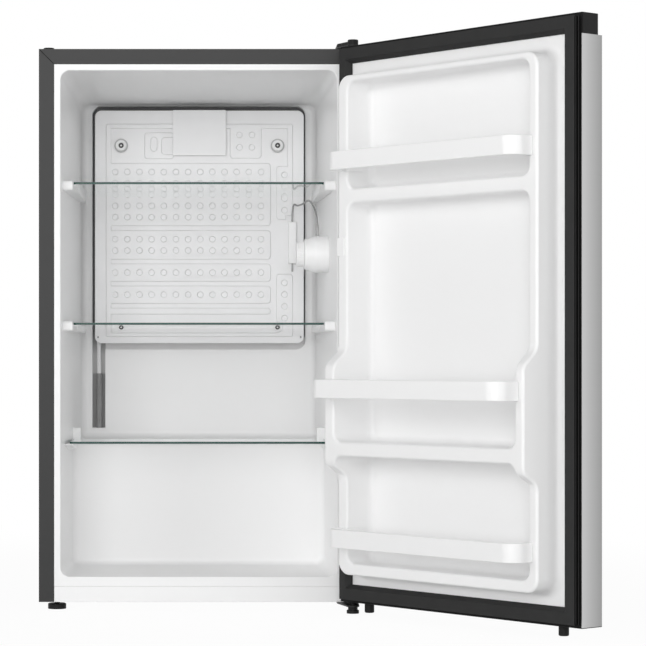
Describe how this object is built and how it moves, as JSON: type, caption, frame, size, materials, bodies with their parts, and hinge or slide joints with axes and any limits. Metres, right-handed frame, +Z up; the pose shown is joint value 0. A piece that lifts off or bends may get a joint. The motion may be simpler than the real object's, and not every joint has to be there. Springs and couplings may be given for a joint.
{
  "type": "mini fridge",
  "caption": "Compact free-standing refrigerator with a silver-faced reversible door hung on the right, glass shelves, door bins, cooling plate and thermostat dial.",
  "frame": {"origin": "on the floor, at the centre of the cabinet's footprint, without the door", "axes": "+X to the right seen from the front, +Y to the back, +Z up; the door is stored open as pictured"},
  "size_m": [0.7701, 0.8162, 0.838],
  "materials": {
    "cabinet_grey": "dark grey paint with a fine texture",
    "zinc_steel": "zinc-coated sheet steel",
    "liner_white": "glossy white vacuum-formed sheet",
    "moulded_white": "smooth white moulded plastic",
    "plate_white": "white coated aluminium",
    "foam": "rigid insulating foam, out of sight",
    "silver_skin": "fine brushed stainless look",
    "black_plastic": "black moulded plastic",
    "black_rubber": "soft black rubber",
    "clear_glass": "clear tempered glass with green edges",
    "sleeve_grey": "grey foam pipe sleeve",
    "tube_grey": "thin grey sensing tube",
    "copper": "copper tube",
    "compressor_black": "gloss black paint",
    "motor_iron": "iron core, out of sight"
  },
  "bodies": {
    "cabinet": {"outer_cabinet": "cabinet_grey", "back_panel": "zinc_steel", "machine_bay_wall": "zinc_steel", "base_plate": "zinc_steel", "compressor_rail": "zinc_steel", "compressor_mount": "zinc_steel", "compressor_bolts": "zinc_steel", "top_hinge_bracket": "zinc_steel", "top_hinge_pin": "zinc_steel", "top_hinge_screws": "zinc_steel", "bottom_hinge_bracket": "zinc_steel", "bottom_hinge_pin": "zinc_steel", "bottom_hinge_screws": "zinc_steel", "evaporator_screws": "zinc_steel", "inner_liner": "liner_white", "front_plinth": "liner_white", "thermostat_housing": "moulded_white", "evaporator_posts": "moulded_white", "evaporator_washers": "moulded_white", "sensor_holder": "moulded_white", "thermostat_switch": "moulded_white", "evaporator_plate": "plate_white", "tube_joint_cover": "plate_white", "suction_line": "plate_white", "cabinet_foam": "foam", "top_hinge_cover": "black_plastic", "hinge_hole_plug": "black_plastic", "rear_feet": "black_plastic", "terminal_cover": "black_plastic", "compressor_grommets": "black_rubber", "cord_gland": "black_rubber", "pipe_sleeve": "sleeve_grey", "evaporator_backing": "sleeve_grey", "capillary_tube": "tube_grey", "discharge_line": "copper", "filter_drier": "copper", "condenser_tube": "copper", "compressor_shell": "compressor_black", "compressor_motor": "motor_iron"},
    "door": {"door_liner": "liner_white", "door_bar_top": "moulded_white", "door_bar_middle": "moulded_white", "door_bar_low": "moulded_white", "door_magnet_cap": "moulded_white", "door_foam": "foam", "door_skin": "silver_skin", "door_top_cap": "black_plastic", "door_bottom_cap": "black_plastic", "door_edge_frame": "black_plastic", "door_pegs": "black_plastic", "door_bushes": "black_plastic", "door_gasket": "black_rubber"},
    "thermostat_dial": {"thermostat_dial": "moulded_white"},
    "shelf_top": {"glass_shelf_top": "clear_glass"},
    "shelf_middle": {"glass_shelf_middle": "clear_glass"},
    "shelf_bottom": {"glass_shelf_bottom": "clear_glass"},
    "foot_left": {"front_left_foot": "black_plastic"},
    "foot_right": {"front_right_foot": "black_plastic"}
  },
  "joints": [
    {"name": "door_swing", "type": "hinge", "parent": "cabinet", "child": "door", "pos_m": [0.2258, -0.2263, 0.4], "axis": [0, 0, 1], "range_deg": [-128.8, 6]},
    {"name": "dial_turn", "type": "hinge", "parent": "cabinet", "child": "thermostat_dial", "pos_m": [0.156, -0.055, 0.531], "axis": [1, 0, 0], "range_deg": [-135, 135]},
    {"name": "top_shelf_slide", "type": "slide", "parent": "cabinet", "child": "shelf_top", "axis": [0, -1, 0], "range_m": [0, 0.29]},
    {"name": "middle_shelf_slide", "type": "slide", "parent": "cabinet", "child": "shelf_middle", "axis": [0, -1, 0], "range_m": [0, 0.29]},
    {"name": "bottom_shelf_slide", "type": "slide", "parent": "cabinet", "child": "shelf_bottom", "axis": [0, -1, 0], "range_m": [0, 0.13]},
    {"name": "left_foot_turn", "type": "hinge", "parent": "cabinet", "child": "foot_left", "pos_m": [-0.2105, -0.174, 0], "axis": [0, 0, 1], "continuous": true},
    {"name": "right_foot_turn", "type": "hinge", "parent": "cabinet", "child": "foot_right", "pos_m": [0.2245, -0.244, 0], "axis": [0, 0, 1], "continuous": true}
  ]
}
